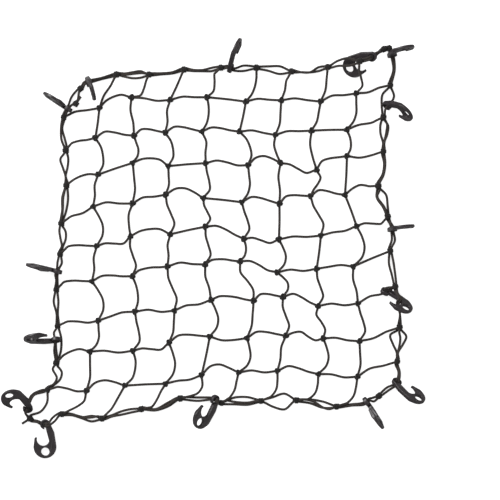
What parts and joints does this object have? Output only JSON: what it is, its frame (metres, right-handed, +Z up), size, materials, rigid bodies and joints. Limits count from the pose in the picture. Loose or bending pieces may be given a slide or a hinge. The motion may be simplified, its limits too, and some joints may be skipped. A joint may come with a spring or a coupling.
{
  "type": "cargo net",
  "caption": "Elastic cargo net of knotted black cord, laid out flat, with a doubled edge cord and flat plastic hooks around it for holding a load down",
  "frame": {"origin": "on the ground, under the middle of the outline of net and hooks as laid out", "axes": "+Z up from the ground; +Y to the edge with the raised corner hook; +X to the right seen from above"},
  "size_m": [0.6777, 0.6711, 0.0592],
  "materials": {
    "net_cord": "matt woven cover",
    "edge_cord": "matt woven cover",
    "hook_plastic": "satin moulded"
  },
  "bodies": {
    "root": {"mesh_net": "net_cord", "border_cord": "edge_cord", "hook_a": "hook_plastic", "hook_b": "hook_plastic", "hook_c": "hook_plastic", "hook_d": "hook_plastic", "hook_e": "hook_plastic", "hook_f": "hook_plastic", "hook_g": "hook_plastic", "hook_h": "hook_plastic", "hook_i": "hook_plastic", "hook_j": "hook_plastic", "hook_k": "hook_plastic", "hook_l": "hook_plastic", "hook_m": "hook_plastic", "hook_n": "hook_plastic", "hook_o": "hook_plastic"}
  },
  "joints": []
}
